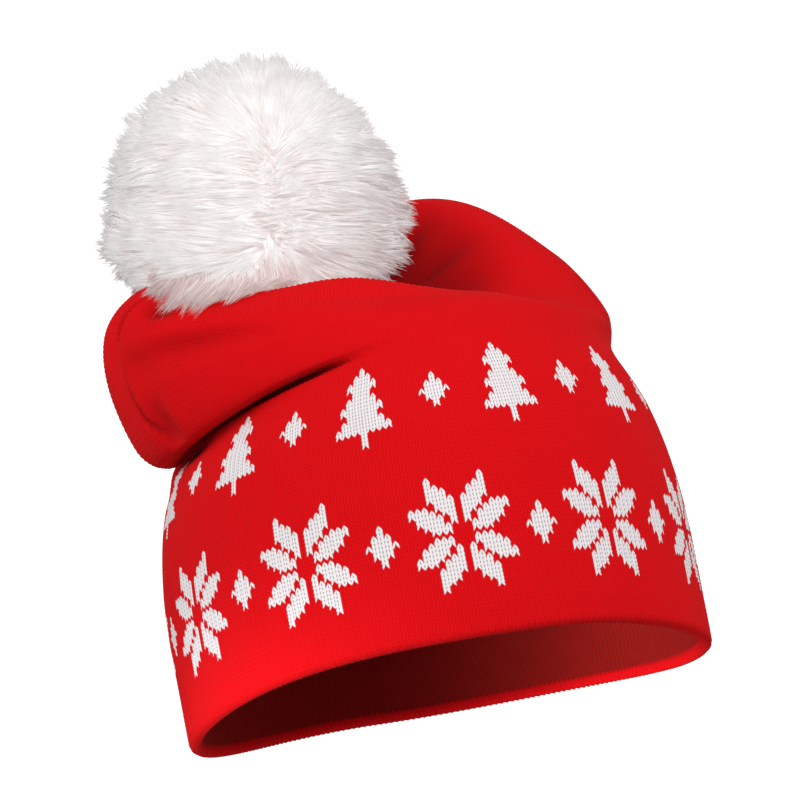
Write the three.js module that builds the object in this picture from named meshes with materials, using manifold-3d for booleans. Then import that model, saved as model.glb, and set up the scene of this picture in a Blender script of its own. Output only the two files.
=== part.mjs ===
// Knitted pompom hat in its worn form: a double-layer knitted crown, open at the rim for the head,
// whose top slouches over the band into a soft lobe, with a yarn pompom tied on at the gathered top.
// Millimetres, +Z up. The origin is the middle of the rim opening. The front of the hat faces -Y.

import * as THREE from 'three';
import { mergeVertices } from 'three/addons/utils/BufferGeometryUtils.js';
import Module from 'manifold-3d';

// Driving dimensions

const WALL = 3; // two layers of fine knit
const HEM_WALL = 4; // the wall where the knit folds back on itself at the rim
const GAP = 0.3; // clearance between pieces that meet
const COLUMNS = 60; // facets around the crown
const HEM_STEPS = 4; // facets around the fold of the hem
const NORMAL_STEP = { angle: 0.009, section: 0.01 }; // how far apart the face is read to find its normal

// Sections of the crown's outer face, from the rim up over the ridge and down into the gather.
// left, right, front and rear are the reach from the axis on each side, and the z columns the height there.
// leanRight raises the rear and lowers the front on the right, leanLeft the front and rear on the left.
// steps is the number of facets up from the section before.
const SECTION_FIELDS = ['name', 'left', 'right', 'front', 'rear', 'zLeft', 'zRight', 'zFront', 'zRear',
  'leanLeft', 'leanRight', 'steps'];
const SECTIONS = table(SECTION_FIELDS, [
  ['rim', 83, 81, 95, 80, -1, -1, 2, 5, 3, 2, 0],
  ['hem_top', 83, 81, 96, 82, 10, 10, 11, 14, 3, 2, 1],
  ['band', 82, 81, 95, 90, 46, 46, 47, 48, 1, 0, 2],
  ['band_top', 76, 77, 90, 94, 72, 72, 75, 82, 0, 0, 2],
  ['crease', 67, 70, 82, 95, 87, 91, 93, 108, 0, 0, 3],
  ['underside', 77, 70, 79, 94, 84, 96, 98, 118, 0, 1, 2],
  ['lobe_side', 88, 73, 71, 90, 112, 107, 106, 140, 0, 4, 4],
  ['shoulder', 86, 74, 62, 80, 131, 121, 111, 162, 0, 12, 3],
  ['ridge', 74, 65, 50, 58, 140, 137, 115, 174, -2, 15, 3],
  ['inner', 58, 48, 36, 38, 136, 143, 115, 166, -2, 14, 2],
  ['valley', 40, 18, 14, 22, 126, 130, 113, 142, 0, 6, 3],
]);
const GATHER = { x: -28, y: 6, z: 114, holeRadius: 2.5, steps: 3 }; // where the crown is drawn together

// Dents pressed into the crown. angle is measured from +X towards +Y, in degrees, section counts from the rim.
const DENT_FIELDS = ['name', 'angle', 'halfAngle', 'section', 'halfSections', 'depth'];
const DENTS = table(DENT_FIELDS, [
  ['side_fold', 180, 8, 6.9, 2, 4],
  ['lobe_slack', 216, 30, 7.1, 0.8, 2],
  ['lobe_corner', 192, 9, 5.8, 0.6, 1.5],
]);

// Gathers radiating from the tie, over the sections between these two.
const GATHERS = { count: 12, share: 0.05, from: 8.5, full: 10 };

const POMPOM = {
  x: -34, y: 1, z: 162, // centre
  headRadius: 42, headSegments: 16, headRings: 10,
  reach: 48, reachSpread: 1, reachBeat: 2, // from the centre to the tips of the locks
  locks: 72, lockSides: 5, lockRoot: 36, lockRootRadius: 13, lockTipRadius: 3,
};

const TIE = {
  stemRadius: 2.2, stemAboveGather: 22, sides: 12,
  knotRadius: 6, knotBelowGather: 10.5, knotHalfHeight: 5, knotSteps: 8,
};

const RED_YARN = new THREE.MeshStandardMaterial({ color: 0xd2141a, roughness: 0.95, metalness: 0 });
const WHITE_YARN = new THREE.MeshStandardMaterial({ color: 0xefecec, roughness: 1, metalness: 0 });
const TIE_YARN = new THREE.MeshStandardMaterial({ color: 0xe6e2e0, roughness: 1, metalness: 0 });

// Helpers

function table(fields, rows) {
  return rows.map((row) => Object.fromEntries(fields.map((field, i) => [field, row[i]])));
}

// A smooth hump: 1 at u = 0, falling to 0 at u = -1 and 1.
function hump(u) {
  return Math.abs(u) < 1 ? Math.cos((u * Math.PI) / 2) ** 2 : 0;
}

// The signed difference of two angles in degrees, between -180 and 180.
function angleBetween(a, b) {
  return THREE.MathUtils.euclideanModulo(a - b + 180, 360) - 180;
}

// The crown's surface

const LEAN_SCALE = 1.5 * Math.sqrt(3); // brings the peak of sin x cos^2 to 1

function sectionPoint(section, angle) {
  const c = Math.cos(angle);
  const s = Math.sin(angle);
  const side = c > 0
    ? { reach: section.right, z: section.zRight, lean: section.leanRight }
    : { reach: section.left, z: section.zLeft, lean: -section.leanLeft };
  const end = s > 0
    ? { reach: section.rear, z: section.zRear }
    : { reach: section.front, z: section.zFront };
  const lean = side.lean * LEAN_SCALE * s * c * c;
  return new THREE.Vector3(side.reach * c, end.reach * s, side.z * c * c + end.z * s * s + lean);
}

// The line up the crown at one angle, from the rim to the edge of the gather's hole.
function meridian(angle) {
  const points = SECTIONS.map((section) => sectionPoint(section, angle));
  const hole = new THREE.Vector3(Math.cos(angle), Math.sin(angle), 0).multiplyScalar(GATHER.holeRadius);
  points.push(hole.add(new THREE.Vector3(GATHER.x, GATHER.y, GATHER.z)));
  return new THREE.CatmullRomCurve3(points, false, 'centripetal');
}

function plainPoint(angle, section) {
  return meridian(angle).getPoint(section / SECTIONS.length);
}

function outwardNormal(angle, section) {
  const low = Math.max(section - NORMAL_STEP.section, 0);
  const high = Math.min(section + NORMAL_STEP.section, SECTIONS.length);
  const after = plainPoint(angle + NORMAL_STEP.angle, section);
  const around = after.sub(plainPoint(angle - NORMAL_STEP.angle, section));
  const up = plainPoint(angle, high).sub(plainPoint(angle, low));
  return around.cross(up).normalize();
}

function dentDepth(angle, section) {
  const degrees = THREE.MathUtils.radToDeg(angle);
  return DENTS.reduce((depth, dent) => {
    const across = hump(angleBetween(degrees, dent.angle) / dent.halfAngle);
    const along = hump((section - dent.section) / dent.halfSections);
    return depth + dent.depth * across * along;
  }, 0);
}

function gatherHeight(angle, section, point) {
  const fade = THREE.MathUtils.smoothstep(section, GATHERS.from, GATHERS.full);
  const run = Math.hypot(point.x - GATHER.x, point.y - GATHER.y);
  return fade * GATHERS.share * run * Math.cos(GATHERS.count * angle);
}

// A point of the crown's outer face, moved inwards by inset along the face's normal.
function crownPoint(angle, section, inset) {
  const point = plainPoint(angle, section);
  const move = gatherHeight(angle, section, point) - dentDepth(angle, section) - inset;
  return point.addScaledVector(outwardNormal(angle, section), move);
}

function wallAt(section) {
  return THREE.MathUtils.lerp(HEM_WALL, WALL, Math.min(section, 1));
}

function columnAngles() {
  return Array.from({ length: COLUMNS }, (_, i) => (2 * Math.PI * i) / COLUMNS);
}

// The heights, counted in sections, of the rings of facets from the rim to the gather.
function ringHeights() {
  const steps = [...SECTIONS.slice(1).map((section) => section.steps), GATHER.steps];
  const heights = steps.flatMap((count, i) => Array.from({ length: count }, (_, k) => i + k / count));
  return [...heights, SECTIONS.length];
}

// Rings of the half round under the rim, from the inner face back to the outer face.
function hemRings() {
  return Array.from({ length: HEM_STEPS - 1 }, (_, i) => {
    const turn = (Math.PI * (i + 1)) / HEM_STEPS;
    return columnAngles().map((angle) => {
      const outer = crownPoint(angle, 0, 0);
      const inner = crownPoint(angle, 0, HEM_WALL);
      const middle = outer.clone().add(inner).multiplyScalar(0.5);
      const down = plainPoint(angle, 0).sub(plainPoint(angle, 1)).setLength((HEM_WALL / 2) * Math.sin(turn));
      return middle.add(inner.sub(outer).multiplyScalar(Math.cos(turn) / 2)).add(down);
    });
  });
}

// Meshes from rings of points, and solids from meshes

function quadIndices(rings, closed) {
  const indices = [];
  const last = closed ? rings.length : rings.length - 1;
  for (let ring = 0; ring < last; ring += 1) {
    const low = ring * COLUMNS;
    const high = ((ring + 1) % rings.length) * COLUMNS;
    for (let i = 0; i < COLUMNS; i += 1) {
      const j = (i + 1) % COLUMNS;
      indices.push(low + i, low + j, high + j);
      indices.push(low + i, high + j, high + i);
    }
  }
  return indices;
}

function geometryFrom(points, indices) {
  const geometry = new THREE.BufferGeometry().setFromPoints(points);
  geometry.setIndex(indices);
  return geometry;
}

function crownGeometry() {
  const heights = ringHeights();
  const outer = heights.map((section) => columnAngles().map((angle) => crownPoint(angle, section, 0)));
  const inner = heights.map((section) => (
    columnAngles().map((angle) => crownPoint(angle, section, wallAt(section)))
  ));
  const rings = [...outer, ...inner.reverse(), ...hemRings()];
  return geometryFrom(rings.flat(), quadIndices(rings, true));
}

// The crown's outer face grown by the gap and closed to a full body, to seat the pompom on it.
function crownEnvelope() {
  const rings = ringHeights().map((section) => (
    columnAngles().map((angle) => crownPoint(angle, section, -GAP))
  ));
  const points = rings.flat();
  const indices = quadIndices(rings, false);
  const top = points.length - COLUMNS;
  const bottomCentre = points.length;
  const topCentre = points.length + 1;
  for (let i = 0; i < COLUMNS; i += 1) {
    const j = (i + 1) % COLUMNS;
    indices.push(bottomCentre, j, i);
    indices.push(topCentre, top + i, top + j);
  }
  points.push(new THREE.Vector3(0, 0, SECTIONS[0].zLeft));
  points.push(new THREE.Vector3(GATHER.x, GATHER.y, GATHER.z + GAP));
  return geometryFrom(points, indices);
}

const wasm = await Module();
wasm.setup();

function solidFrom(geometry) {
  const plain = geometry.clone();
  plain.deleteAttribute('normal');
  plain.deleteAttribute('uv');
  const merged = mergeVertices(plain);
  return new wasm.Manifold(new wasm.Mesh({
    numProp: 3,
    vertProperties: new Float32Array(merged.attributes.position.array),
    triVerts: new Uint32Array(merged.index.array),
  }));
}

function geometryFromSolid(solid) {
  const mesh = solid.getMesh();
  const geometry = new THREE.BufferGeometry();
  geometry.setAttribute('position', new THREE.BufferAttribute(mesh.vertProperties, 3));
  geometry.setIndex(new THREE.BufferAttribute(mesh.triVerts, 1));
  return geometry;
}

// The pompom and its tie

// Directions spread evenly over the ball, along a spiral.
function lockDirection(i) {
  const goldenAngle = Math.PI * (3 - Math.sqrt(5));
  const z = 1 - (2 * i + 1) / POMPOM.locks;
  const flat = Math.sqrt(1 - z * z);
  return new THREE.Vector3(flat * Math.cos(goldenAngle * i), flat * Math.sin(goldenAngle * i), z);
}

function lockGeometry(i) {
  const direction = lockDirection(i);
  const reach = POMPOM.reach + POMPOM.reachSpread * Math.sin(POMPOM.reachBeat * i);
  const length = reach - POMPOM.lockRoot;
  const geometry = new THREE.CylinderGeometry(
    POMPOM.lockTipRadius, POMPOM.lockRootRadius, length, POMPOM.lockSides,
  );
  const turn = new THREE.Quaternion().setFromUnitVectors(new THREE.Vector3(0, 1, 0), direction);
  geometry.applyQuaternion(turn);
  const middle = direction.multiplyScalar(POMPOM.lockRoot + length / 2);
  return geometry.translate(middle.x, middle.y, middle.z);
}

// The hole in the pompom that the tie's stem goes up into, cut from below the gather.
function socketGeometry() {
  const radius = TIE.stemRadius + GAP;
  const low = GATHER.z - TIE.stemAboveGather;
  const high = GATHER.z + TIE.stemAboveGather + GAP;
  const geometry = new THREE.CylinderGeometry(radius, radius, high - low, TIE.sides);
  geometry.rotateX(Math.PI / 2);
  return geometry.translate(GATHER.x, GATHER.y, (low + high) / 2);
}

function pompomGeometry() {
  const head = new THREE.SphereGeometry(POMPOM.headRadius, POMPOM.headSegments, POMPOM.headRings);
  let ball = solidFrom(head);
  for (let i = 0; i < POMPOM.locks; i += 1) {
    ball = ball.add(solidFrom(lockGeometry(i)));
  }
  const placed = ball.translate([POMPOM.x, POMPOM.y, POMPOM.z]);
  const seated = placed.subtract(solidFrom(crownEnvelope()));
  return geometryFromSolid(seated.subtract(solidFrom(socketGeometry())));
}

// Half the outline of the tie, from the bottom of its knot up the stem, turned around the axis.
function tieGeometry() {
  const knotMiddle = -TIE.knotBelowGather;
  const stemTurn = Math.asin(TIE.stemRadius / TIE.knotRadius);
  const profile = Array.from({ length: TIE.knotSteps + 1 }, (_, i) => {
    const turn = ((Math.PI - stemTurn) * i) / TIE.knotSteps;
    return new THREE.Vector2(
      TIE.knotRadius * Math.sin(turn), knotMiddle - TIE.knotHalfHeight * Math.cos(turn),
    );
  });
  profile.push(new THREE.Vector2(TIE.stemRadius, TIE.stemAboveGather));
  profile.push(new THREE.Vector2(0, TIE.stemAboveGather));
  const geometry = new THREE.LatheGeometry(profile, TIE.sides);
  return geometry.rotateX(Math.PI / 2);
}

function namedMesh(name, geometry, material) {
  const mesh = new THREE.Mesh(geometry, material);
  mesh.name = name;
  return mesh;
}

const hat = new THREE.Group();

const crown = namedMesh('knit_crown', crownGeometry(), RED_YARN);
const pompom = namedMesh('pompom', pompomGeometry(), WHITE_YARN);
const tie = namedMesh('pompom_tie', tieGeometry(), TIE_YARN);
tie.position.set(GATHER.x, GATHER.y, GATHER.z);
hat.add(crown, pompom, tie);

export default hat;
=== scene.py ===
"""A knitted pompom hat in its worn form: stitched knit, a pompom of cut yarn and the tie that holds it."""
import math

import bpy
import numpy as np
from mathutils import Matrix, Vector
from mathutils.bvhtree import BVHTree


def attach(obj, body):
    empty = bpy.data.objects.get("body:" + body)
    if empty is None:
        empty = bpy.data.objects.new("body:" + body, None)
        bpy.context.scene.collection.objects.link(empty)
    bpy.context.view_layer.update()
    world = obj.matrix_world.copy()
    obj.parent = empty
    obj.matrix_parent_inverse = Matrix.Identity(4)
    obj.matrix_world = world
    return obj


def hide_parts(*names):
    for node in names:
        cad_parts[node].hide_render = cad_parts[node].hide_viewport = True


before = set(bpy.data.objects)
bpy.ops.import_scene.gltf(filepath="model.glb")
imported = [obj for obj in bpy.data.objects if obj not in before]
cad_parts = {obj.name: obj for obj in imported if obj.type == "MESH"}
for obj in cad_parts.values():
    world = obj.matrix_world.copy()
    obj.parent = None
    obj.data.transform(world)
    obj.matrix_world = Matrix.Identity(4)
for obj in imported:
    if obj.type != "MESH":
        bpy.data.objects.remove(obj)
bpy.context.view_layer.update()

MM = 0.001
ROOT = "root"

# The crown's form, in millimetres, as the solids have it

# Sections of the outer face, from the rim up over the ridge and down into the gather: the reach from the
# axis and the height on each side, the lean of the left and right halves, and the courses of knit up from
# the section before.
SECTION_FIELDS = ("name", "left", "right", "front", "rear", "z_left", "z_right", "z_front", "z_rear",
                  "lean_left", "lean_right", "courses")
SECTION_ROWS = (
    ("rim", 83, 81, 95, 80, -1, -1, 2, 5, 3, 2, 0),
    ("hem_top", 83, 81, 96, 82, 10, 10, 11, 14, 3, 2, 8),
    ("band", 82, 81, 95, 90, 46, 46, 47, 48, 1, 0, 29),
    ("band_top", 76, 77, 90, 94, 72, 72, 75, 82, 0, 0, 23),
    ("crease", 67, 70, 82, 95, 87, 91, 93, 108, 0, 0, 16),
    ("underside", 77, 70, 79, 94, 84, 96, 98, 118, 0, 1, 7),
    ("lobe_side", 88, 73, 71, 90, 112, 107, 106, 140, 0, 4, 17),
    ("shoulder", 86, 74, 62, 80, 131, 121, 111, 162, 0, 12, 13),
    ("ridge", 74, 65, 50, 58, 140, 137, 115, 174, -2, 15, 13),
    ("inner", 58, 48, 36, 38, 136, 143, 115, 166, -2, 14, 13),
    ("valley", 40, 18, 14, 22, 126, 130, 113, 142, 0, 6, 18),
)
SECTIONS = [dict(zip(SECTION_FIELDS, row)) for row in SECTION_ROWS]
TOP = len(SECTIONS)  # the gather counts as one more section
GATHER = np.array([-28.0, 6.0, 114.0])
GATHER_HOLE = 2.5
GATHER_COURSES = 20
LEAN_SCALE = 1.5 * math.sqrt(3)  # brings the peak of sin x cos^2 to 1
WALL = 3.0
HEM_WALL = 4.0

# Dents in that form: the angle from +X towards +Y in degrees, the section counted from the rim, the depth
# in mm, and how much painted shade darkens the knit there: the shade in creases and folds and under the
# pompom.
DENT_FIELDS = ("name", "angle", "half_angle", "section", "half_sections", "depth", "shade")
DENT_ROWS = (
    ("side_fold", 180, 8, 6.9, 2, 4, 0),
    ("lobe_slack", 216, 30, 7.1, 0.8, 2, 0),
    ("lobe_corner", 192, 9, 5.8, 0.6, 1.5, 0),
)
# Finer folds of the soft knit over that form. A depth below 0 stands out.
FOLD_ROWS = (
    ("crease", 202, 44, 4.08, 0.2, 4.5, 0.95),
    ("crease_end", 222, 23, 4.08, 0.2, 3.5, 0.4),
    ("crease_corner", 180, 16, 3.72, 0.34, 2.0, 0.95),
    ("under_lobe", 160, 36, 3.66, 0.56, -2.6, 0),
    ("lobe_tip", 168, 26, 4.9, 0.5, 2.5, 0),
    ("corner_dent", 190.5, 8, 5.3, 0.42, 3.4, 0.28),
    ("lobe_dent", 213, 32, 5.98, 0.36, 3.2, 0.12),
    ("under_pompom", 204, 8, 6.9, 0.38, 3.5, 0.5),
    ("front_ridge", 252, 28, 7.8, 0.9, -5.8, 0),
)
DENTS = [dict(zip(DENT_FIELDS, row)) for row in DENT_ROWS + FOLD_ROWS]
# The seam down the side of the lobe bows forward at both ends: the section, and the angle in degrees.
SEAM_PATH = ((5.1, 190), (5.5, 184.5), (5.9, 182.5), (6.3, 184), (6.9, 191), (7.5, 199))
# Its shade is painted shade along the seam's groove.
SEAM = {"half_angle": 1.9, "ends": 0.45, "depth": 1.2, "shade": 0.5}
# Gathers around the tie: their height as a share of the way to it, and the sections where they start and
# are full.
GATHERS = {"count": 12, "share": 0.05, "from": 9, "full": 10.3}
NORMAL_STEP = {"angle": 0.009, "section": 0.01}  # for the face's normals, in radians and sections

# The knit, in wales around and courses up

WALES = 264
WALE_TURN = 2 * math.pi / WALES
HEM_COURSES = 5  # around the fold of the hem
COURSE_STARTS = np.cumsum([row["courses"] for row in SECTIONS] + [GATHER_COURSES])  # at each section
COURSES = int(COURSE_STARTS[-1])


def smoothstep(x, low, high):
    t = np.clip((x - low) / (high - low), 0, 1)
    return t * t * (3 - 2 * t)


def hump(u):
    """1 at u = 0, falling smoothly to 0 at u = -1 and 1."""
    return np.where(np.abs(u) < 1, np.cos(u * math.pi / 2) ** 2, 0.0)


def unit(vectors):
    return vectors / np.linalg.norm(vectors, axis=-1, keepdims=True)


def section_rings(angles):
    """Points of the sections and of the gather's hole, sections x angles x 3."""
    c, s = np.cos(angles), np.sin(angles)
    right, rear = c > 0, s > 0
    rings = []
    for row in SECTIONS:
        x = np.where(right, row["right"], row["left"]) * c
        y = np.where(rear, row["rear"], row["front"]) * s
        lean = np.where(right, row["lean_right"], -row["lean_left"]) * LEAN_SCALE * s * c * c
        z_side = np.where(right, row["z_right"], row["z_left"]) * c * c
        z_end = np.where(rear, row["z_rear"], row["z_front"]) * s * s
        rings.append(np.stack([x, y, z_side + z_end + lean], -1))
    rings.append(np.stack([GATHER_HOLE * c, GATHER_HOLE * s, 0 * c], -1) + GATHER)
    return np.array(rings)


def catmull(p0, p1, p2, p3, t):
    """A point of the centripetal Catmull-Rom curve between p1 and p2."""
    spans = ((p0, p1), (p1, p2), (p2, p3))
    d0, d1, d2 = (np.sqrt(np.linalg.norm(b - a, axis=-1))[..., None] for a, b in spans)
    m1 = ((p1 - p0) / d0 - (p2 - p0) / (d0 + d1) + (p2 - p1) / d1) * d1
    m2 = ((p2 - p1) / d1 - (p3 - p1) / (d1 + d2) + (p3 - p2) / d2) * d1
    square = 3 * (p2 - p1) - 2 * m1 - m2
    cube = 2 * (p1 - p2) + m1 + m2
    return p1 + m1 * t + square * t ** 2 + cube * t ** 3


def plain_points(angles, heights):
    """Points of the smooth crown at each height, counted in sections: heights x angles x 3."""
    rings = section_rings(angles)
    rings = np.concatenate([[2 * rings[0] - rings[1]], rings, [2 * rings[-1] - rings[-2]]])
    k = np.clip(np.floor(heights).astype(int), 0, TOP - 1)
    t = (heights - k)[:, None, None]
    return catmull(rings[k], rings[k + 1], rings[k + 2], rings[k + 3], t)


def crown_face(angles, heights):
    """Points of the outer face with dents and gathers, its normals, and the mm in a radian around."""
    points = plain_points(angles, heights)
    step = NORMAL_STEP["angle"]
    around = plain_points(angles + step, heights) - plain_points(angles - step, heights)
    high = np.minimum(heights + NORMAL_STEP["section"], TOP)
    low = np.maximum(heights - NORMAL_STEP["section"], 0)
    normal = unit(np.cross(around, plain_points(angles, high) - plain_points(angles, low)))
    move = gather_heights(angles, heights, points) - dented(angles, heights, "depth")
    per_radian = np.linalg.norm(around, axis=-1) / (2 * step)
    return points + normal * move[..., None], normal, per_radian


def dented(angles, heights, field):
    """The summed depth or painted shade of all dents, heights x angles."""
    total = np.zeros((len(heights), len(angles)))
    for dent in DENTS:
        apart = (np.degrees(angles) - dent["angle"] + 180) % 360 - 180
        across = hump(apart / dent["half_angle"])
        along = hump((heights - dent["section"]) / dent["half_sections"])
        total += dent[field] * along[:, None] * across[None, :]
    return total + SEAM[field] * seam(angles, heights)


def seam(angles, heights):
    """1 along the middle of the side seam and 0 away from it, heights x angles."""
    sections, turns = np.array(SEAM_PATH).T
    apart = np.degrees(angles)[None, :] - np.interp(heights, sections, turns)[:, None]
    near_end = np.minimum(heights - sections[0], sections[-1] - heights)
    return hump(apart / SEAM["half_angle"]) * smoothstep(near_end, 0, SEAM["ends"])[:, None]


def gather_heights(angles, heights, points):
    fade = smoothstep(heights, GATHERS["from"], GATHERS["full"])[:, None]
    run = np.linalg.norm(points[..., :2] - GATHER[:2], axis=-1)
    return fade * GATHERS["share"] * run * np.cos(GATHERS["count"] * angles)[None, :]


def section_heights(courses):
    """The height, counted in sections, of courses that count as knit_points has them."""
    beyond = -HEM_COURSES - courses  # the course on the inner face
    up = np.where(beyond > 0, beyond, np.maximum(courses, 0))
    return np.interp(up, COURSE_STARTS, np.arange(TOP + 1))


def knit_points(angles, courses):
    """Points and normals of the knit, courses x angles x 3, and the mm in a radian around.

    Courses count up the outer face from the rim. Below 0 they go round the fold of the hem, and beyond it
    up the inner face.
    """
    outside = (courses >= 0)[:, None, None]
    height = section_heights(courses)
    points, normal, per_radian = crown_face(angles, height)
    wall = (HEM_WALL + (WALL - HEM_WALL) * np.minimum(height, 1))[:, None, None]
    turn = np.clip(-courses / HEM_COURSES, 0, 1)[:, None, None] * math.pi
    down = unit(plain_points(angles, np.array([0.0])) - plain_points(angles, np.array([1.0])))
    facing = np.where(outside, normal, normal * np.cos(turn) + down * np.sin(turn))
    middle = points - normal * wall / 2
    around_hem = middle + facing * wall / 2
    return np.where(outside, points, around_hem), facing, per_radian


def course_of(section):
    """The course at which a named section lies."""
    names = [row["name"] for row in SECTIONS]
    return int(COURSE_STARTS[names.index(section)])


# Helpers for objects, meshes and materials

def linear(red, green, blue):
    """A colour given in screen values from 0 to 255, as the shader's linear values."""
    parts = np.array([red, green, blue]) / 255
    low, high = parts / 12.92, ((parts + 0.055) / 1.055) ** 2.4
    return (*np.where(parts <= 0.04045, low, high).tolist(), 1.0)


def mesh_object(name, points, faces, materials, indices=None, uv=None, shade=None, smooth=True):
    """A mesh of equal-sided faces from arrays, points in mm.

    indices is the material of each face, uv belongs to the corners, and shade to the points.
    """
    points = np.asarray(points, np.float32).reshape(-1, 3) * MM
    faces = np.asarray(faces, np.int32)
    count, sides = faces.shape
    mesh = bpy.data.meshes.new(name)
    mesh.vertices.add(len(points))
    mesh.vertices.foreach_set("co", points.ravel())
    mesh.loops.add(count * sides)
    mesh.loops.foreach_set("vertex_index", faces.ravel())
    mesh.polygons.add(count)
    mesh.polygons.foreach_set("loop_start", np.arange(count, dtype=np.int32) * sides)
    for material in materials:
        mesh.materials.append(material)
    if indices is not None:
        mesh.polygons.foreach_set("material_index", np.asarray(indices, np.int32))
    if uv is not None:
        layer = mesh.uv_layers.new(name="UVMap")
        layer.uv.foreach_set("vector", np.asarray(uv, np.float32).ravel())
    if shade is not None:
        values = mesh.attributes.new("shade", "FLOAT", "POINT")
        values.data.foreach_set("value", np.asarray(shade, np.float32).ravel())
    mesh.polygons.foreach_set("use_smooth", np.full(count, smooth))
    mesh.update(calc_edges=True)
    mesh.validate()
    piece = bpy.data.objects.new(name, mesh)
    bpy.context.scene.collection.objects.link(piece)
    return piece


def ring_faces(rings, columns):
    """Four-sided faces between rings of points, each ring closed around."""
    low = np.arange(rings - 1)[:, None] * columns
    k = np.arange(columns)[None, :]
    after = (k + 1) % columns
    high = low + columns
    return np.stack([low + k, low + after, high + after, high + k], -1).reshape(-1, 4)


def dress(piece, node):
    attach(piece, ROOT)
    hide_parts(node)
    return piece


class Nodes:
    """A material's nodes, added and joined by short calls."""

    def __init__(self, name):
        self.material = bpy.data.materials.new(name)
        self.material.use_nodes = True
        self.tree = self.material.node_tree
        self.shader = self.tree.nodes["Principled BSDF"]

    def feed(self, socket, value):
        """Joins another node's output to a socket, or sets the socket's value."""
        if isinstance(value, bpy.types.NodeSocket):
            self.tree.links.new(value, socket)
        else:
            socket.default_value = value

    def add(self, kind, inputs=(), **settings):
        node = self.tree.nodes.new(kind)
        for key, value in settings.items():
            setattr(node, key, value)
        for key, value in dict(inputs).items():
            self.feed(node.inputs[key], value)
        return node

    def math(self, operation, a, b=0.0, c=0.0):
        return self.add("ShaderNodeMath", {0: a, 1: b, 2: c}, operation=operation).outputs[0]

    def scaled(self, vector, scale):
        return self.add("ShaderNodeMapping", {"Vector": vector, "Scale": scale}).outputs["Vector"]

    def from_middle(self, value):
        """How far a value lies from the middle between two whole numbers."""
        return self.math("ABSOLUTE", self.math("SUBTRACT", self.math("FRACT", value), 0.5))

    def fade(self, value, low, high):
        """0 up to low, 1 from high on, and smooth between."""
        inputs = {"Value": value, "From Min": low, "From Max": high}
        return self.add("ShaderNodeMapRange", inputs, interpolation_type="SMOOTHSTEP").outputs[0]

    def mix(self, factor, first, second):
        inputs = {"Factor": factor, 6: first, 7: second}
        return self.add("ShaderNodeMix", inputs, data_type="RGBA", clamp_factor=True).outputs[2]

    def set(self, **values):
        for key, value in values.items():
            self.feed(self.shader.inputs[key.replace("_", " ")], value)


# Materials

LEGS = 2.0  # of a stitch, side by side in a wale
LEG_LINE = (0.22, 0.5)  # where the line between two legs begins and is full, from a leg's middle
LEG_CROSSING = (0.12, 0.42)  # the same along the leg, for the hole where stitches cross
LINE_TONE, UNEVEN_TONE, HOLE_TONE = 0.3, 0.6, 0.85  # how far each darkens the yarn
STREAKS = {"repeat": (3, 9, 1), "detail": 3.0, "roughness": 0.6, "height": 0.4}  # of fibres, in a stitch
KNIT_CLOUD = {"scale": 60.0, "detail": 4.0}
NOISE_MIDDLE = 0.5
KNIT_BUMP = 0.0003  # metres
GATHER_SHADE_SECTIONS = (8.8, 10.0)  # where painted shade begins towards the gather by the pompom, and where it is full
# The near-black colour of the painted shade in creases, folds, the seam and under the pompom.
FOLD_SHADE_COLOUR = linear(40, 2, 4)
YARN_CLOUD = {"scale": 130.0, "detail": 3.0, "fade": (0.35, 0.7), "tone": 0.15}


def knit_material(name, light, dark, hole, gather_shade, bloom, bumps):
    """Fine plied yarn in legs of stitches, with faint lines between the legs and holes where they cross.

    It has painted shade towards the gather by the pompom, and where the mesh says that shade falls in a fold.
    """
    n = Nodes(name)
    stitch = n.scaled(n.add("ShaderNodeTexCoord").outputs["UV"], (WALES, COURSES, 1))
    streaks = n.add("ShaderNodeTexNoise", {
        "Vector": n.scaled(stitch, STREAKS["repeat"]),
        "Scale": 1.0, "Detail": STREAKS["detail"], "Roughness": STREAKS["roughness"]}).outputs["Fac"]
    cloud = n.add("ShaderNodeTexNoise", {
        "Vector": n.add("ShaderNodeTexCoord").outputs["Object"],
        "Scale": KNIT_CLOUD["scale"], "Detail": KNIT_CLOUD["detail"]}).outputs["Fac"]
    place = n.add("ShaderNodeSeparateXYZ", {"Vector": stitch}).outputs
    line = n.fade(n.from_middle(n.math("MULTIPLY", place["X"], LEGS)), *LEG_LINE)
    cross = n.math("MULTIPLY", line, n.fade(n.from_middle(place["Y"]), *LEG_CROSSING))
    uneven = n.math("ADD", *(n.math("SUBTRACT", noise, NOISE_MIDDLE) for noise in (streaks, cloud)))
    tone = n.math("MULTIPLY_ADD", line, LINE_TONE, n.math("MULTIPLY", uneven, UNEVEN_TONE))
    colour = n.mix(n.math("MULTIPLY", cross, HOLE_TONE), n.mix(tone, light, dark), hole)
    # Painted shade in the hollow towards the gather, where the pompom's shadow falls.
    gather_shade_courses = np.interp(GATHER_SHADE_SECTIONS, np.arange(TOP + 1), COURSE_STARTS).tolist()
    colour = n.mix(n.fade(place["Y"], *gather_shade_courses), colour, gather_shade)
    # Painted shade where the mesh says that shade falls in a fold, along the seam or under the pompom.
    painted_fold_shade = n.add("ShaderNodeAttribute", attribute_name="shade").outputs["Fac"]
    colour = n.mix(painted_fold_shade, colour, FOLD_SHADE_COLOUR)
    fibres = n.math("MULTIPLY", streaks, STREAKS["height"])
    height = n.math("SUBTRACT", fibres, n.math("ADD", line, cross))
    bump = n.add("ShaderNodeBump", {"Strength": bumps, "Distance": KNIT_BUMP, "Height": height})
    n.set(Base_Color=colour, Roughness=0.95, Normal=bump.outputs[0], Specular_IOR_Level=0.08,
          Sheen_Weight=0.12, Sheen_Roughness=0.5, Sheen_Tint=bloom)
    return n.material


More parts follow.
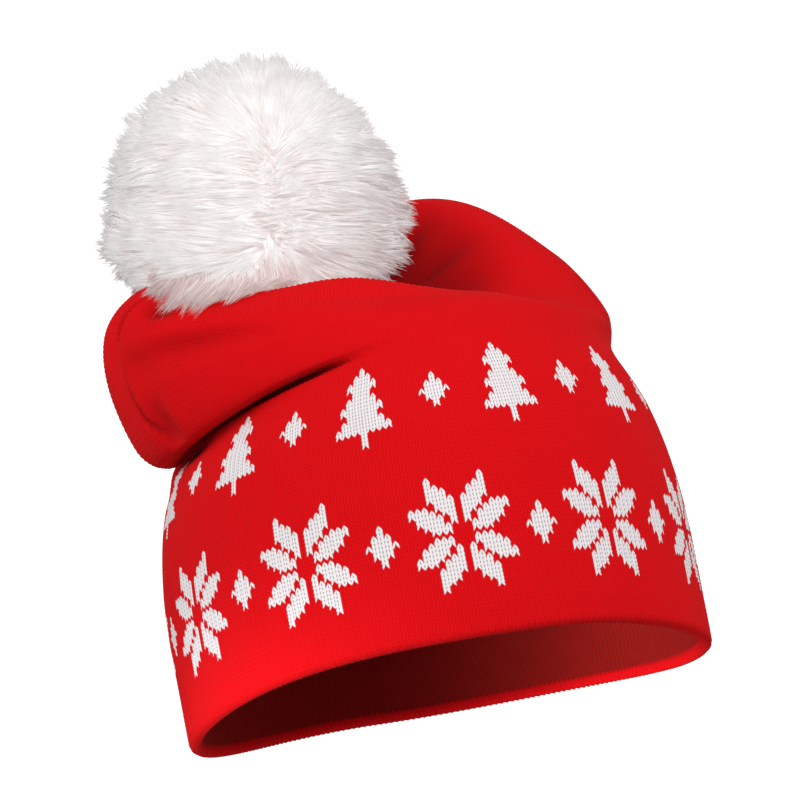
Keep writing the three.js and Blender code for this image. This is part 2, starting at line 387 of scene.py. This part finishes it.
def yarn_material(name, light, dark):
    """White yarn, uneven from lock to lock, with painted shade where the mesh says that it lies deep in a
    tuft.
    """
    n = Nodes(name)
    place = n.add("ShaderNodeTexCoord").outputs["Object"]
    cloud = n.add("ShaderNodeTexNoise", {
        "Vector": place, "Scale": YARN_CLOUD["scale"], "Detail": YARN_CLOUD["detail"]}).outputs["Fac"]
    # Painted shade from the mesh, deep in tufts and along the hanging tufts.
    deep = n.add("ShaderNodeAttribute", attribute_name="shade").outputs["Fac"]
    tone = n.math("MULTIPLY_ADD", n.fade(cloud, *YARN_CLOUD["fade"]), YARN_CLOUD["tone"], deep)
    n.set(Base_Color=n.mix(tone, light, dark), Roughness=0.85, Specular_IOR_Level=0.25,
          Sheen_Weight=0.15, Sheen_Roughness=0.5)
    return n.material


RED_KNIT = knit_material(
    "red_knit", light=linear(214, 11, 18), dark=linear(200, 9, 15), hole=linear(180, 7, 12),
    gather_shade=linear(136, 6, 9), bloom=linear(255, 60, 60), bumps=0.15)
WHITE_KNIT = knit_material(
    "white_knit", light=linear(238, 231, 233), dark=linear(214, 204, 208), hole=linear(120, 100, 106),
    gather_shade=linear(136, 6, 9), bloom=linear(255, 255, 255), bumps=0.5)
# The inside is a darker copy of the red knit: painted shade inside the hat.
INSIDE_KNIT_IN_SHADE = knit_material(
    "inside_knit_in_shade", light=linear(150, 24, 20), dark=linear(118, 15, 12), hole=linear(82, 10, 8),
    gather_shade=linear(82, 10, 8), bloom=linear(255, 60, 60), bumps=0.5)
# Its dark colour is painted shade with a painted pink reflection of the red knit.
WHITE_YARN = yarn_material("white_yarn", light=linear(254, 254, 253), dark=linear(210, 184, 182))
# The core is painted darker than the strands, as painted shade in the gaps between them.
PACKED_YARN_IN_SHADE = yarn_material("packed_yarn_in_shade", light=linear(240, 237, 238), dark=linear(200, 194, 197))
TIE_YARN = yarn_material("tie_yarn", light=linear(244, 242, 240), dark=linear(200, 196, 194))


# The traditional pattern of the band: a row of stars and diamonds, and above it fir trees and diamonds

STITCH = (2.02, 1.23)  # a stitch's width and height as the pattern is drawn, in mm
REPEAT = 24  # wales
PATTERN_WALE = 188  # the wale at which a star has its middle
STAR = {"course": 24, "reach": 17.0, "slit": 1.0}
DIAMOND = {"reach": 5.2, "course": 60}
# A fir tree, one row for two courses.
TREE_CHART = (
    ".....#.....",
    "....###....",
    "...#####...",
    "....###....",
    "...#####...",
    "..#######..",
    "...#####...",
    "..#######..",
    ".#########.",
    ".....#.....",
    ".....#.....",
)
TREE_FOOT = 49  # course


def star(x, y):
    """Eight slanting petals around a centre, parted along the axes and the diagonals."""
    half, slit = STAR["reach"] / 2, STAR["slit"]
    x, y = np.abs(x), np.abs(y)
    low, high = np.minimum(x, y), np.maximum(x, y)
    return (low >= slit) & (low <= half) & (high - low >= slit) & (high - low <= half)


def diamond(x, y):
    return np.abs(x) + np.abs(y) <= DIAMOND["reach"]


def fir_trees(between, courses):
    chart = np.array([[cell == "#" for cell in row] for row in TREE_CHART[::-1]])
    tall, wide = chart.shape
    row, column = (courses - TREE_FOOT) // 2, between + wide // 2
    inside = (row >= 0) & (row < tall) & (column >= 0) & (column < wide)
    return inside & chart[np.clip(row, 0, tall - 1).astype(int), np.clip(column, 0, wide - 1).astype(int)]


def white_stitches(courses):
    """Which stitches are white, courses x wales."""
    wales = (np.arange(WALES) - PATTERN_WALE) % WALES
    beside = ((wales + REPEAT / 2) % REPEAT - REPEAT / 2)[None, :]  # wales from the nearest star's middle
    between = (wales % REPEAT - REPEAT / 2)[None, :]  # wales from the middle between two stars
    courses = courses[:, None]
    star_up = (courses - STAR["course"]) * STITCH[1]
    diamond_up = (courses - DIAMOND["course"]) * STITCH[1]
    lower = star(beside * STITCH[0], star_up) | diamond(between * STITCH[0], star_up)
    return lower | fir_trees(between, courses) | diamond(beside * STITCH[0], diamond_up)


# The knitted skins

LEG_DROP = 1.0  # how far a leg of a stitch falls from the middle of its wale to the edge, in courses
# The relief of the stitches in mm, across a wale and along its courses.
RELIEF = {"edge": -0.20, "centre": 0.12, "groove": -0.12, "crest": 0.12}
# The two columns of points in a wale: the place across it, the rise in courses and the relief.
LEG_COLUMNS = ((0, -LEG_DROP / 2, RELIEF["edge"]), (0.5, LEG_DROP / 2, RELIEF["centre"]))
FULL_WALE = 2.0  # the width of a wale at which the relief has its full depth
SPLIT = course_of("crease")  # in the depth of the crease
FINE_END = course_of("valley")  # above it the rows lie a whole course apart


def stitch_uv(rows, columns):
    """Places of the faces' corners on the flat knit, rows x columns x 4 x 2."""
    corners = (len(rows) - 1, columns, 4)
    k = np.arange(columns)
    u = np.stack([k, k + 1, k + 1, k], -1)[None] / columns
    v = np.stack([rows[:-1], rows[:-1], rows[1:], rows[1:]], -1)[:, None] / COURSES
    return np.stack([np.broadcast_to(u, corners), np.broadcast_to(v, corners)], -1)


def knit_skin(name, rows, materials, patterned=False):
    """Rows of stitches at the given courses. Each wale is two columns of legs, which fall from its middle."""
    sides, shades = [], []
    beat = np.where(np.isclose(rows % 1, 0.5), RELIEF["crest"], RELIEF["groove"])[:, None]
    for offset, rise, depth in LEG_COLUMNS:
        angles = (np.arange(WALES) + offset) * WALE_TURN
        courses = np.minimum(rows + rise, COURSES)
        points, normal, per_radian = knit_points(angles, courses)
        fullness = np.clip(per_radian * WALE_TURN / FULL_WALE, 0, 1)
        sides.append(points + normal * (fullness * (beat + depth))[..., None])
        # The painted shade of folds, seam and pompom at each point.
        shades.append(dented(angles, section_heights(courses), "shade"))
    columns = len(LEG_COLUMNS) * WALES
    indices = None
    if patterned:
        white = white_stitches(np.floor(rows[:-1]))
        indices = np.repeat(white, len(LEG_COLUMNS), axis=1).ravel()
    faces = ring_faces(len(rows), columns)
    return mesh_object(name, np.stack(sides, 2), faces, materials, indices, stitch_uv(rows, columns),
                       np.stack(shades, 2))


# Half a course apart on the outer face, from a course beyond the hem's fold, and two courses apart inside.
lower_rows = np.arange(-HEM_COURSES * 2 - 2, SPLIT * 2 + 1) / 2
upper_rows = np.concatenate([np.arange(SPLIT * 2, FINE_END * 2) / 2, np.arange(FINE_END, COURSES + 1)])
inside_rows = -HEM_COURSES - np.arange(COURSES, 0, -2) + 0.0

outer_knit = [RED_KNIT, WHITE_KNIT]
knit_lower = dress(knit_skin("knit_lower", lower_rows, outer_knit, True), "knit_crown")
knit_upper = dress(knit_skin("knit_upper", upper_rows, outer_knit), "knit_crown")
knit_inside = dress(knit_skin("knit_inside", inside_rows, [INSIDE_KNIT_IN_SHADE]), "knit_crown")


# The pompom: cut yarn ends around a ball, drawn together in tufts, bent aside where they meet the knit

POMPOM_CENTRE = np.array([-34.0, 1.0, 162.0])
# How far the yarn reaches from the centre, by the elevation in degrees at which it leaves.
REACH_ROWS = ((-90, 45), (-40, 47), (-22, 49), (-10, 51.5), (2, 49), (18, 47.5), (40, 48), (65, 49),
              (90, 48.5))
# Where it reaches further or less far: a direction, degrees around it, and mm. At the front left it fills
# the valley up to the crown's ridge and hangs over.
BULGE_FIELDS = ("name", "x", "y", "z", "half_angle", "extra")
BULGE_ROWS = (
    ("spill", -0.42, -0.66, -0.62, 50, 8),
    ("low_left", -0.83, 0.40, -0.40, 26, -9),
    ("low_right", 0.75, -0.30, -0.60, 30, 5),
    ("top", 0.20, -0.10, 0.97, 25, 2),
)
BULGES = [dict(zip(BULGE_FIELDS, row)) for row in BULGE_ROWS]
# The ball of packed yarn under the strands. Its valleys between the tufts have a depth in mm and a width
# in radians.
CORE = {"below_tips": 6.0, "clear": 1.5, "valley": 1.0, "valley_width": 0.05, "rings": 90, "segments": 180}
# Yarn ends, each of a few fibres, and the tufts that they are drawn to. Some ends are loose.
YARN = {"ends": 11800, "fibres": 4, "tufts": 440, "draw": 0.5, "loose": 0.35, "root_depth": 1.5,
        "seed": 11}
# The spread of the directions of tufts and ends, of their lengths and sideways leans in mm, and of the fibres
# of an end at their roots, bends and tips.
TUFT_SPREAD = {"direction": 0.05, "length": 1.3, "lean": 1.8}
END_SPREAD = {"direction": 0.012, "length": 0.7, "lean": 0.8}
FIBRE_SPREAD = {"length": 0.5, "root": 0.35, "bend": 0.25, "tip": 0.5}
# A strand bends at a share of its length, there on a way between those of its root and its tip.
BEND = {"at": 0.6, "root_share": 0.45, "tip_share": 0.55}
STRAND = {"sides": 3, "radius": 0.28, "vary": (0.75, 1.2), "at_bend": 0.85}
# Painted shade on a strand at its root, bend and tip, where shade falls deep in its tuft and under the ball,
# and how much darker some are at random all along.
STRAND_SHADE_AND_TONE = {"ball": (0.42, 0.08, 0.0, 0.2), "hanging": (0.1, 0.45, 0.6, 0.5)}
# The yarn parts along an arc on the front of the ball, which has these ends, and lies away from it.
PARTING = np.array([[-0.06, -0.98, 0.18], [-0.16, -0.86, -0.48]])
# It lies over by an angle, fully from a little way off, in radians, and wanders from tuft to tuft. Where the
# cosine of the way to the parting is under the last value, it lies over less.
PARTING_LEAN = {"angle": 0.42, "from": 0.5, "wander": 0.05, "full_cosine": 0.6}
# Strands that come near the crown lie down on it. They bend clear of it and a little way back, and run on
# along it at a slight slope. Lengths are in mm.
LAID = {"near": 1.0, "clear": 0.9, "back": 0.6, "spare": 2.0, "longest": 7.0, "shortest": 0.5, "slope": 0.12}
CROWN_GRID = {"columns": 180, "rows": 150}  # of the search tree
SOFTNESS = 1.2  # how far a strand is shaded as part of the tuft around it
THROUGH = 1.0  # how far low strands face up instead of down, as light also comes through the loose yarn
LOW = (-0.2, 0.8)  # where strands begin to count as low, and fully do, by how far down they point

# Tufts that hang over the ridge: the angle around the crown, and the section at which they end.
HANG_ROWS = ((194, 8.0), (200, 7.3), (206, 7.05), (211, 6.78), (218, 6.8), (227, 7.1), (232, 7.5),
             (235, 7.8))
# They leave the ball at a radius and climb a little, cross the ridge at a section and a lift in mm, fan out
# by degrees, and are drawn together again at their tips, which lie nearer to the knit.
HANGING = {"tufts": 27, "bunches": 9, "fibres": 8, "root": (28.0, 36.0), "climb": (0.1, 0.5),
           "crest": (7.8, 8.3), "lift": (1.3, 4.5), "fan": 1.6, "drawn": 0.75, "tip_lift_share": 0.5,
           "tip_lift": 0.8, "seed": 5}
# The spread of tufts and bunches in degrees and sections, and of fibres in mm and shares of their length.
HANGING_SPREAD = {"tuft_angle": 0.5, "tuft_end": 0.1, "bunch_angle": 0.6, "bunch_end": 0.06, "lift": 0.2,
                  "bend": 0.15, "tip": 0.08}


def spread_directions(count):
    """Directions spread evenly over a ball."""
    k = np.arange(count) + 0.5
    z = 1 - 2 * k / count
    turn = k * math.pi * (3 - math.sqrt(5))
    flat = np.sqrt(1 - z * z)
    return np.stack([flat * np.cos(turn), flat * np.sin(turn), z], -1)


def crown_tree():
    """The crown's outer face as a search tree, in mm."""
    angles = np.linspace(0, 2 * math.pi, CROWN_GRID["columns"] + 1)[:-1]
    heights = np.linspace(0, TOP, CROWN_GRID["rows"])
    points = crown_face(angles, heights)[0]
    faces = ring_faces(len(heights), len(angles))
    return BVHTree.FromPolygons(points.reshape(-1, 3).tolist(), faces.tolist())


def yarn_reach(directions):
    elevation = np.degrees(np.arcsin(directions[..., 2]))
    reach = np.interp(elevation, *np.array(REACH_ROWS).T)
    for bulge in BULGES:
        towards = unit(np.array([bulge["x"], bulge["y"], bulge["z"]]))
        apart = np.degrees(np.arccos(np.clip(directions @ towards, -1, 1)))
        reach = reach + bulge["extra"] * hump(apart / bulge["half_angle"])
    return reach


def core_radius(directions, tree):
    """The ball under the tips of the yarn, clear of the crown."""
    flat = directions.reshape(-1, 3)
    radius = yarn_reach(flat) - CORE["below_tips"]
    for i, direction in enumerate(flat):
        room = radius[i] + CORE["clear"]
        distance = tree.ray_cast(Vector(POMPOM_CENTRE), Vector(direction), room)[3]
        if distance is not None:
            radius[i] = distance - CORE["clear"]
    return radius.reshape(directions.shape[:-1])


def tuft_directions():
    rng = np.random.default_rng(YARN["seed"])
    jitter = rng.normal(0, TUFT_SPREAD["direction"], (YARN["tufts"], 3))
    return unit(spread_directions(YARN["tufts"]) + jitter)


def on_parting(directions):
    """The nearest direction on the parting."""
    first, last = unit(PARTING)
    onward = unit(last - first * (first @ last))
    along = np.clip(np.arctan2(directions @ onward, directions @ first), 0, math.acos(first @ last))
    return np.outer(np.cos(along), first) + np.outer(np.sin(along), onward)


def nearer_parting(directions):
    """Directions turned towards the parting, fully from a little way off it and not at all at the sides."""
    middle = on_parting(directions)
    near = np.sum(directions * middle, axis=1)
    angle = np.arccos(np.clip(near, -1, 1))
    aside = unit(directions - middle * near[:, None])
    off = np.minimum(angle / PARTING_LEAN["from"], 1)
    lean = PARTING_LEAN["angle"] * off * smoothstep(near, 0, PARTING_LEAN["full_cosine"])
    return middle * np.cos(angle - lean)[:, None] + aside * np.sin(angle - lean)[:, None]


def yarn_ends(rng, tree):
    """Of every yarn end: the direction and radius of its root, and the direction and reach of its tip."""
    count, tuft_count = YARN["ends"], YARN["tufts"]
    ends = unit(spread_directions(count) + rng.normal(0, END_SPREAD["direction"], (count, 3)))
    tufts = tuft_directions()
    tuft_of = np.argmax(ends @ tufts.T, axis=1)
    tuft_length = rng.normal(0, TUFT_SPREAD["length"], tuft_count)[tuft_of]
    tuft_lean = rng.normal(0, TUFT_SPREAD["lean"], (tuft_count, 3))[tuft_of]
    lean = tuft_lean + rng.normal(0, END_SPREAD["lean"], (count, 3))
    reach = yarn_reach(ends) + tuft_length + rng.normal(0, END_SPREAD["length"], count)
    bound = (rng.uniform(0, 1, (count, 1)) > YARN["loose"]).astype(float)
    drawn = unit(ends + (tufts[tuft_of] - ends) * YARN["draw"] * bound)
    aim = unit(drawn * reach[:, None] + lean)
    wander = rng.normal(0, PARTING_LEAN["wander"], (tuft_count, 3))[tuft_of]
    start = unit(nearer_parting(ends) + wander * bound)
    return start, core_radius(start, tree) - YARN["root_depth"], aim, reach


def yarn_strands(tree):
    """Root, bend and tip of every fibre, each an array of points in mm."""
    rng = np.random.default_rng(YARN["seed"] + 1)
    count = YARN["ends"] * YARN["fibres"]
    end_of = np.arange(count) % YARN["ends"]
    start, deep, aim, reach = (values[end_of] for values in yarn_ends(rng, tree))
    reach = reach + rng.normal(0, FIBRE_SPREAD["length"], count)
    root = POMPOM_CENTRE + start * deep[:, None] + rng.normal(0, FIBRE_SPREAD["root"], (count, 3))
    tip = POMPOM_CENTRE + aim * reach[:, None] + rng.normal(0, FIBRE_SPREAD["tip"], (count, 3))
    way = unit(start * BEND["root_share"] + aim * BEND["tip_share"])
    radius = (deep + (reach - deep) * BEND["at"])[:, None]
    bend = POMPOM_CENTRE + way * radius + rng.normal(0, FIBRE_SPREAD["bend"], (count, 3))
    return bent_aside(root, bend, tip, tree)


def bent_aside(root, bend, tip, tree):
    """Strands that meet the crown lie down on it, and those that meet it inside the ball are left out."""
    keep = np.ones(len(root), bool)
    for i in range(len(root)):
        way = Vector(tip[i] - root[i])
        length = way.length
        way.normalize()
        place, normal, _, distance = tree.ray_cast(Vector(root[i]), way, length + LAID["near"])
        if place is None:
            continue
        if distance < LAID["near"]:
            keep[i] = False
            continue
        if normal.dot(way) > 0:
            normal.negate()
        slide = (way - normal * way.dot(normal)).normalized()
        slide = (slide + normal * LAID["slope"]).normalized()
        corner = place + normal * LAID["clear"] - way * LAID["back"]
        rest = min(length - distance + LAID["spare"], LAID["longest"])
        onward, _, _, run = tree.ray_cast(corner, slide, rest + LAID["near"])
        if onward is not None:
            rest = max(run - LAID["near"], LAID["shortest"])
        bend[i] = corner
        tip[i] = corner + slide * rest
    return root[keep], bend[keep], tip[keep]


def crown_points(angles, height):
    """Points and normals of the outer face along one section."""
    points, normals, _ = crown_face(angles, np.array([height]))
    return points[0], normals[0]


def hanging_bunch(rng, middle, end_section, crest_section):
    """Root, bend and tip of a few fibres that cross the ridge at one section and end together."""
    column = (HANGING["fibres"], 1)
    fan = rng.normal(0, HANGING["fan"], HANGING["fibres"])
    tip_middle = middle + rng.normal(0, HANGING_SPREAD["bunch_angle"])
    tip_angles = np.radians(tip_middle + fan * (1 - HANGING["drawn"]))
    end_height = end_section + rng.normal(0, HANGING_SPREAD["bunch_end"])
    crest, crest_normal = crown_points(np.radians(middle + fan), crest_section)
    end, end_normal = crown_points(tip_angles, end_height)
    onward = end - crest
    lift = rng.uniform(*HANGING["lift"]) + rng.normal(0, HANGING_SPREAD["lift"], column)
    bend = crest + crest_normal * lift + onward * rng.normal(0, HANGING_SPREAD["bend"], column)
    tip_lift = lift * HANGING["tip_lift_share"] + HANGING["tip_lift"]
    tip = end + onward * rng.normal(0, HANGING_SPREAD["tip"], column) + end_normal * tip_lift
    climb = np.array([0, 0, 1]) * rng.uniform(*HANGING["climb"])
    way = unit(unit(bend - POMPOM_CENTRE) + climb)
    return POMPOM_CENTRE + way * rng.uniform(*HANGING["root"], column), bend, tip


def hanging_strands():
    """Root, bend and tip of tufts from the ball's face, over the crown's ridge and down its outer face."""
    rng = np.random.default_rng(HANGING["seed"])
    count = HANGING["tufts"]
    middles = np.linspace(HANG_ROWS[0][0], HANG_ROWS[-1][0], count)
    middles = middles + rng.normal(0, HANGING_SPREAD["tuft_angle"], count)
    sections = np.interp(middles, *np.array(HANG_ROWS).T)
    sections = sections + rng.normal(0, HANGING_SPREAD["tuft_end"], count)
    bunches = []
    for middle, section in zip(middles, sections):
        for crest_section in rng.uniform(*HANGING["crest"], HANGING["bunches"]):
            bunches.append(hanging_bunch(rng, middle, section, crest_section))
    return [np.concatenate(points) for points in zip(*bunches)]


def lit_from(points):
    """The way that loose yarn at these points is lit from: out of the ball, and not straight down."""
    out = unit(points - POMPOM_CENTRE)
    low = smoothstep(-out[:, 2:], *LOW)
    return unit(out + low * np.array([0, 0, THROUGH]))


def strand_faces(count):
    """Triangles of strands that each have a ring of points at the root, a ring at the bend and a tip."""
    sides = STRAND["sides"]
    faces = []
    for k in range(sides):
        after = (k + 1) % sides
        faces.append((k, after, sides + after))
        faces.append((k, sides + after, sides + k))
        faces.append((sides + k, sides + after, 2 * sides))
    starts = np.arange(count) * (2 * sides + 1)
    return (np.array(faces)[None] + starts[:, None, None]).reshape(-1, 3)


def strand_mesh(name, root, bend, tip, shade_and_tone, seed):
    """Thin strands that end in a point. shade_and_tone has a row like those of STRAND_SHADE_AND_TONE for
    each: painted shade, and random tone.
    """
    rng = np.random.default_rng(seed)
    count = len(root)
    way = unit(tip - root)
    side = unit(np.cross(way, rng.normal(0, 1, (count, 3))))[:, None]
    other = np.cross(way[:, None], side)
    turn = (np.arange(STRAND["sides"]) * 2 * math.pi / STRAND["sides"])[None, :, None]
    ring = np.cos(turn) * side + np.sin(turn) * other
    thick = (STRAND["radius"] * rng.uniform(*STRAND["vary"], count))[:, None, None]
    at_root = root[:, None] + ring * thick
    at_bend = bend[:, None] + ring * thick * STRAND["at_bend"]
    points = np.concatenate([at_root, at_bend, tip[:, None]], axis=1)
    rings = np.array([STRAND["sides"], STRAND["sides"], 1])
    # Painted shade along each strand, and a random tone.
    tone = np.repeat(shade_and_tone[:, :3], rings, axis=1) + shade_and_tone[:, 3:] * rng.uniform(0, 1, (count, 1))
    piece = mesh_object(name, points, strand_faces(count), [WHITE_YARN], shade=tone)
    out = np.repeat(np.stack([lit_from(root), lit_from(bend), lit_from(tip)], 1), rings, axis=1)
    around = np.concatenate([ring, ring, way[:, None]], axis=1)
    normals = unit(out * SOFTNESS + around)
    piece.data.normals_split_custom_set_from_vertices(normals.reshape(-1, 3))
    piece.visible_shadow = False  # fine fibres let the light through to each other
    return piece


def yarn_core(name, tree):
    """The ball of pressed yarn under the strands, raised into a bump under each tuft, and painted a little
    darker as shade.
    """
    up = np.linspace(-math.pi / 2, math.pi / 2, CORE["rings"] + 1)[:, None]
    turn = np.linspace(0, 2 * math.pi, CORE["segments"] + 1)[:-1][None, :]
    flat, high = np.cos(up), np.sin(up) + 0 * turn
    directions = np.stack([flat * np.cos(turn), flat * np.sin(turn), high], -1)
    nearest = np.sort(directions.reshape(-1, 3) @ tuft_directions().T, axis=1)[:, -2:]
    second, first = np.arccos(np.clip(nearest, -1, 1)).T
    between = smoothstep((second - first).reshape(directions.shape[:-1]), 0, CORE["valley_width"])
    radius = core_radius(directions, tree) - CORE["valley"] * (1 - between)
    points = POMPOM_CENTRE + directions * radius[..., None]
    return mesh_object(name, points, ring_faces(CORE["rings"] + 1, CORE["segments"]), [PACKED_YARN_IN_SHADE])


crown = crown_tree()
radial, hanging = yarn_strands(crown), hanging_strands()
strands = [np.concatenate(pair) for pair in zip(radial, hanging)]
strands.append(np.repeat([STRAND_SHADE_AND_TONE["ball"], STRAND_SHADE_AND_TONE["hanging"]], [len(radial[0]), len(hanging[0])], axis=0))
names = ("pompom_yarn_a", "pompom_yarn_b", "pompom_yarn_c")
for k, name in enumerate(names):
    share = [values[k::len(names)] for values in strands]
    dress(strand_mesh(name, *share, seed=k + 1), "pompom")
dress(yarn_core("pompom_core", crown), "pompom")


# The tie that holds the pompom on: plied yarn up through the gather, and a knot below it

STEM = {"radius": 2.2, "above_gather": 22.0, "pitch": 9.0, "points": 90}
# The knot's round form and its yarn. The trefoil's ring and swing are shares of the room for it.
KNOT = {"radius": 6.0, "half_height": 5.0, "below_gather": 10.5, "yarn_radius": 1.5, "pitch": 6.0,
        "ring": 0.64, "swing": 0.36, "points": 181}
PLIES = 3
PLY_SIDES = 8
PLY_END = 0.5  # how thick a ply is where it is cut, as a share
FIRST_SIDE = (0.3, 0.8, 0.5)  # a direction in which neither yarn starts


def plied_yarn(line, radius, pitch):
    """Points and triangles of plies twisted around a line, each closed to a point at both ends."""
    along = unit(np.gradient(line, axis=0))
    sides = [unit(np.cross(along[0], FIRST_SIDE))]
    for way in along[1:]:
        sides.append(unit(sides[-1] - way * (sides[-1] @ way)))
    side = np.array(sides)
    other = np.cross(along, side)
    run = np.concatenate([[0], np.cumsum(np.linalg.norm(np.diff(line, axis=0), axis=1))])
    around = (np.arange(PLY_SIDES) * 2 * math.pi / PLY_SIDES)[None, :, None]
    spoke = np.cos(around) * side[:, None] + np.sin(around) * other[:, None]
    ply = radius / (1 + 1 / math.sin(math.pi / PLIES))
    thick = np.full((len(line), 1, 1), ply)
    thick[[0, -1]] *= PLY_END
    points, faces = [], []
    for k in range(PLIES):
        turn = 2 * math.pi * (k / PLIES + run / pitch)[:, None]
        middle = line + (radius - ply) * (np.cos(turn) * side + np.sin(turn) * other)
        rings = middle[:, None] + spoke * thick
        points += [middle[:1], rings.reshape(-1, 3), middle[-1:]]
        faces.append(ply_faces(len(line)) + k * (len(line) * PLY_SIDES + 2))
    return np.concatenate(points), np.concatenate(faces)


def ply_faces(count):
    """Triangles of one ply: a first point, rings and a last point."""
    k = np.arange(PLY_SIDES)
    after = (k + 1) % PLY_SIDES
    low = 1 + np.arange(count - 1)[:, None] * PLY_SIDES
    high = low + PLY_SIDES
    first = np.stack([low + k, low + after, high + after], -1).reshape(-1, 3)
    second = np.stack([low + k, high + after, high + k], -1).reshape(-1, 3)
    end = 1 + (count - 1) * PLY_SIDES
    start_cap = np.stack([0 * k, 1 + after, 1 + k], -1)
    end_cap = np.stack([0 * k + end + PLY_SIDES, end + k, end + after], -1)
    return np.concatenate([first, second, start_cap, end_cap])


def knot_line():
    """A trefoil drawn tight, which fills the knot's round form."""
    t = np.linspace(0, 2 * math.pi, KNOT["points"])
    room = KNOT["radius"] - KNOT["yarn_radius"]
    across = room * KNOT["ring"] + room * KNOT["swing"] * np.cos(3 * t)
    up = (KNOT["half_height"] - KNOT["yarn_radius"]) * np.sin(3 * t) - KNOT["below_gather"]
    return GATHER + np.stack([across * np.cos(2 * t), across * np.sin(2 * t), up], -1)


def stem_line():
    low = KNOT["half_height"] - KNOT["below_gather"]
    up = np.linspace(low, STEM["above_gather"], STEM["points"])
    return GATHER + np.stack([0 * up, 0 * up, up], -1)


stem_points, stem_faces = plied_yarn(stem_line(), STEM["radius"], STEM["pitch"])
knot_points, knot_faces = plied_yarn(knot_line(), KNOT["yarn_radius"], KNOT["pitch"])
tie = mesh_object("tie_yarn", np.concatenate([stem_points, knot_points]),
                  np.concatenate([stem_faces, knot_faces + len(stem_points)]), [TIE_YARN])
dress(tie, "pompom_tie")


# Stand, light and camera, in metres

PICTURE = 800  # pixels
ORIGIN_PIXEL = (449, 690)  # where the middle of the rim shows
MM_PER_PIXEL = 0.314  # there
AZIMUTH, ELEVATION, ROLL = (math.radians(x) for x in (-19, -8, 11))
DISTANCE = 1.1
SENSOR = 36.0  # mm
FLOOR = {"z": -0.45, "half": 4.0, "grey": 0.5}
# Round soft lights around the hat. Azimuth is counted from the front, towards the right.
LIGHT_ROWS = (
    # name, azimuth, elevation, power
    ("key", -16, 16, 13.5),
    ("left", -75, 38, 4.5),
    ("right", 52, 36, 4.9),
    ("rear", 160, 28, 5),
)
LIGHT = {"distance": 2.0, "size": 1.0, "aim": (0, 0, 0.1)}
INSIDE_LIGHT = {"aim": (0.070, 0.012, 0.007), "away": (-0.66, -0.22, -0.25), "power": 24.0, "cone": 12,
                "blend": 0.8, "size": 0.04}
# The world's light from the wall around to overhead, by the height of the direction.
WORLD_FADE = {"From Min": 0.28, "From Max": 0.75, "To Min": 1.2, "To Max": 0.35}


def outward(azimuth, elevation):
    """The direction from the hat at these angles in radians, azimuth from the front towards the right."""
    level = math.cos(elevation)
    return Vector((math.sin(azimuth) * level, -math.cos(azimuth) * level, math.sin(elevation)))


def make_camera():
    """The camera at the photograph's angle, aimed so that the picture's middle is on its axis."""
    right = Vector((math.cos(AZIMUTH), math.sin(AZIMUTH), 0))
    back = outward(AZIMUTH, ELEVATION)
    up = back.cross(right)
    focal = DISTANCE / MM / MM_PER_PIXEL
    across, down = PICTURE / 2 - ORIGIN_PIXEL[0], PICTURE / 2 - ORIGIN_PIXEL[1]
    c, s = math.cos(ROLL), -math.sin(ROLL)
    u, v = c * across + s * down, -s * across + c * down
    forward = (-back * focal + right * u - up * v).normalized()
    image_up = up * c - right * s
    image_up = (image_up - forward * image_up.dot(forward)).normalized()
    image_right = forward.cross(image_up)
    axes = Matrix((image_right, image_up, -forward)).transposed().to_4x4()
    data = bpy.data.cameras.new("camera")
    data.sensor_width = SENSOR
    data.lens = focal / PICTURE * SENSOR
    camera = bpy.data.objects.new("camera", data)
    camera.matrix_world = Matrix.Translation(back * DISTANCE) @ axes
    bpy.context.scene.collection.objects.link(camera)
    bpy.context.scene.camera = camera


def make_floor():
    half = FLOOR["half"]
    corners = np.array([[-half, -half, 0], [half, -half, 0], [half, half, 0], [-half, half, 0]])
    points = (corners + [0, 0, FLOOR["z"]]) / MM
    n = Nodes("floor")
    n.set(Base_Color=(FLOOR["grey"], FLOOR["grey"], FLOOR["grey"], 1), Roughness=0.9)
    mesh_object("floor", points, [[0, 1, 2, 3]], [n.material], smooth=False)


def place_light(data, place, aim):
    """Puts a light at a place, looking at another."""
    light = bpy.data.objects.new(data.name, data)
    light.location = place
    light.rotation_euler = (aim - place).to_track_quat("-Z", "Y").to_euler()
    bpy.context.scene.collection.objects.link(light)


def area_light(name, azimuth, elevation, power):
    data = bpy.data.lights.new(name, "AREA")
    data.shape = "DISK"
    data.size = LIGHT["size"]
    data.energy = power
    aim = Vector(LIGHT["aim"])
    away = outward(math.radians(azimuth), math.radians(elevation)) * LIGHT["distance"]
    place_light(data, aim + away, aim)


def inside_light():
    """A narrow soft light from low on the left, under the rim and onto the inner wall on the right."""
    data = bpy.data.lights.new("inside", "SPOT")
    data.energy = INSIDE_LIGHT["power"]
    data.spot_size = math.radians(INSIDE_LIGHT["cone"])
    data.spot_blend = INSIDE_LIGHT["blend"]
    data.shadow_soft_size = INSIDE_LIGHT["size"]
    aim = Vector(INSIDE_LIGHT["aim"])
    place_light(data, aim + Vector(INSIDE_LIGHT["away"]), aim)


def make_world():
    """A white wall of light all around, dimmer overhead, so that little comes back up from the floor."""
    world = bpy.data.worlds.new("studio")
    world.use_nodes = True
    nodes, links = world.node_tree.nodes, world.node_tree.links
    split = nodes.new("ShaderNodeSeparateXYZ")
    links.new(nodes.new("ShaderNodeTexCoord").outputs["Generated"], split.inputs[0])
    fall = nodes.new("ShaderNodeMapRange")
    fall.interpolation_type = "SMOOTHSTEP"
    for key, value in WORLD_FADE.items():
        fall.inputs[key].default_value = value
    links.new(split.outputs["Z"], fall.inputs["Value"])
    background = nodes["Background"]
    background.inputs["Color"].default_value = (1, 1, 1, 1)
    links.new(fall.outputs[0], background.inputs["Strength"])
    bpy.context.scene.world = world


make_camera()
make_floor()
make_world()
for row in LIGHT_ROWS:
    area_light(*row)
inside_light()
bpy.context.scene.view_settings.view_transform = "Standard"
